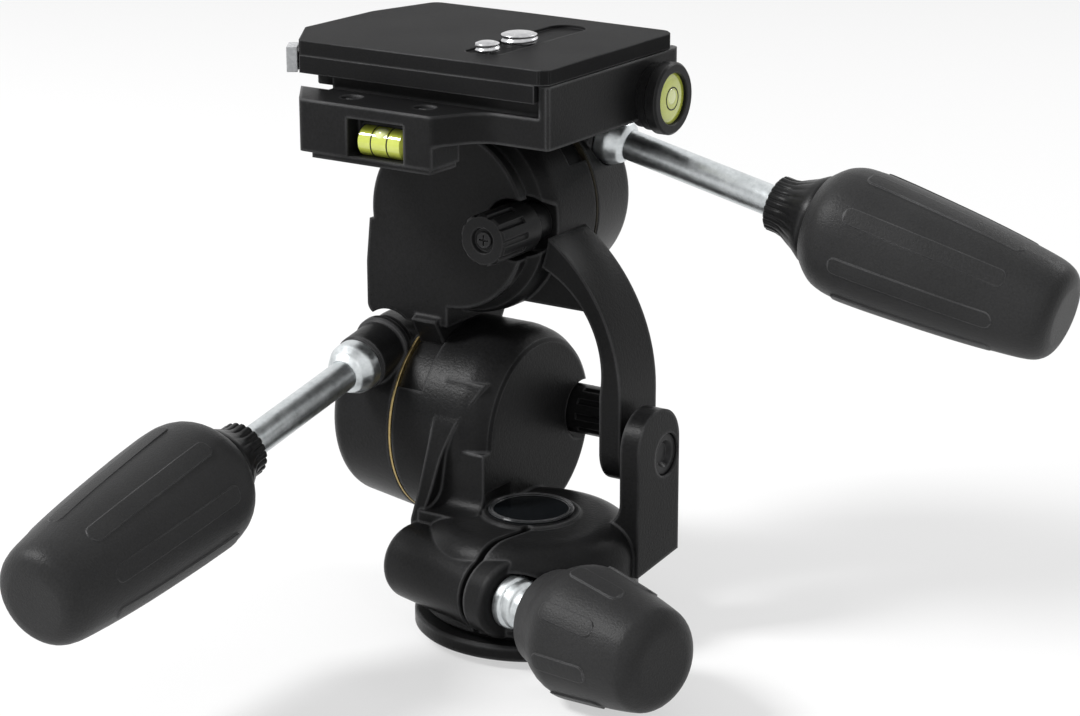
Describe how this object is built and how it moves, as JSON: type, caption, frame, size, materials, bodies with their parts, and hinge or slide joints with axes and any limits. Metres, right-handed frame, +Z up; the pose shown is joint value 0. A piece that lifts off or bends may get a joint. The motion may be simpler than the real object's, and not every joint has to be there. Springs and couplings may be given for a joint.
{
  "type": "tripod head",
  "caption": "Three way pan tilt head with two handles that turn to lock, a round pan knob, a quick release plate and spirit levels.",
  "frame": {"origin": "centre of the base flange's bottom face, where the tripod screw enters", "axes": "+Z up along the pan axis; +X along the lower drum's axis towards the support arm; +Y along the upper drum's axis away from the side that the tilt handle points to"},
  "size_m": [0.1924, 0.204, 0.1514],
  "materials": {
    "cast_black": "fine textured satin black powder coat on cast aluminium",
    "plate_black": "satin black coat with a fine bright edge",
    "cap_gloss": "glossy black",
    "zinc": "bright zinc plate",
    "screw_black": "black oxide on steel, slightly worn at its edges",
    "steel": "plain turned steel",
    "brass": "plain brass sheet",
    "plastic_black": "matte black",
    "rubber_grip": "matte charcoal rubber",
    "tab_pale": "pale grey, slightly translucent",
    "vial_yellow": "clear vial with yellow green liquid"
  },
  "bodies": {
    "base": {"base_flange": "cast_black", "thrust_washer": "plastic_black", "retaining_washer": "steel", "retaining_nut": "steel"},
    "pan": {"pan_casting": "cast_black", "pan_cap": "cap_gloss", "pivot_pin": "screw_black", "clamp_nut": "zinc", "tilt_spindle": "steel", "tilt_disc_springs": "steel"},
    "tilt_friction": {"tilt_friction_knob": "plastic_black", "tilt_friction_screw": "screw_black"},
    "pan_knob": {"clamp_screw": "zinc", "pan_knob": "rubber_grip"},
    "tilt": {"tilt_bracket": "cast_black", "support_arm": "cast_black", "tilt_ring": "cast_black", "tilt_friction_washer": "brass", "tilt_end_cap": "cast_black", "lateral_spindle": "steel", "lateral_disc_springs": "steel"},
    "lateral_friction": {"lateral_friction_knob": "plastic_black", "lateral_friction_screw": "screw_black"},
    "lateral": {"platform": "cast_black", "lateral_ring": "cast_black", "wing_screws": "screw_black", "tube_vial": "vial_yellow", "round_level_body": "plastic_black", "round_level_glass": "vial_yellow", "lateral_friction_washer": "brass", "lateral_end_cap": "cast_black", "lever_pin": "zinc"},
    "tilt_handle": {"tilt_handle_rod": "zinc", "tilt_handle_collar": "zinc", "tilt_handle_neck": "plastic_black", "tilt_handle_grip": "rubber_grip"},
    "lateral_handle": {"lateral_handle_rod": "zinc", "lateral_handle_collar": "zinc", "lateral_handle_neck": "plastic_black", "lateral_handle_grip": "rubber_grip"},
    "lever": {"lock_lever": "cast_black", "lever_tab": "tab_pale"},
    "plate": {"quick_release_plate": "plate_black", "plate_block": "plate_black"},
    "camera_large": {"camera_screw_large": "steel"},
    "camera_small": {"camera_screw_small": "steel"}
  },
  "joints": [
    {"name": "pan", "type": "hinge", "parent": "base", "child": "pan", "pos_m": [0, 0, 0], "axis": [0, 0, 1], "continuous": true},
    {"name": "tilt", "type": "hinge", "parent": "pan", "child": "tilt", "pos_m": [-0.0102, 0.0201, 0.04375], "axis": [1, 0, 0], "range_deg": [-90, 30]},
    {"name": "lateral_tilt", "type": "hinge", "parent": "tilt", "child": "lateral", "pos_m": [-0.029, 0.0201, 0.10065], "axis": [0, 1, 0], "range_deg": [-90, 30]},
    {"name": "pan_lock", "type": "hinge", "parent": "pan", "child": "pan_knob", "pos_m": [-0.00538, -0.02009, 0.015], "axis": [0.9659, -0.2588, 0], "range_deg": [0, 720]},
    {"name": "tilt_friction_turn", "type": "hinge", "parent": "pan", "child": "tilt_friction", "pos_m": [-0.0102, 0.04, 0.04375], "axis": [1, 0, 0], "range_deg": [-270, 270]},
    {"name": "lateral_friction_turn", "type": "hinge", "parent": "tilt", "child": "lateral_friction", "pos_m": [-0.0091, 0.0051, 0.10065], "axis": [0, -1, 0], "range_deg": [-270, 270]},
    {"name": "tilt_lock", "type": "hinge", "parent": "tilt", "child": "tilt_handle", "pos_m": [-0.047, -0.0119, 0.06225], "axis": [0.0482, -0.9857, -0.1616], "range_deg": [0, 540]},
    {"name": "lateral_lock", "type": "hinge", "parent": "lateral", "child": "lateral_handle", "pos_m": [-0.0033, 0.0451, 0.11705], "axis": [0.9736, 0.0272, -0.2267], "range_deg": [0, 540]},
    {"name": "plate_lever", "type": "hinge", "parent": "lateral", "child": "lever", "pos_m": [-0.0574, 0.0381, 0.1375], "axis": [0, 0, -1], "range_deg": [0, 90]},
    {"name": "plate_lift", "type": "slide", "parent": "lateral", "child": "plate", "axis": [0, 0, 1], "range_m": [0, 0.02]},
    {"name": "camera_screw_large_turn", "type": "hinge", "parent": "plate", "child": "camera_large", "pos_m": [-0.0119, 0.0131, 0.14], "axis": [0, 0, 1], "continuous": true},
    {"name": "camera_screw_small_turn", "type": "hinge", "parent": "plate", "child": "camera_small", "pos_m": [-0.0119, -0.0009, 0.14], "axis": [0, 0, 1], "continuous": true}
  ]
}
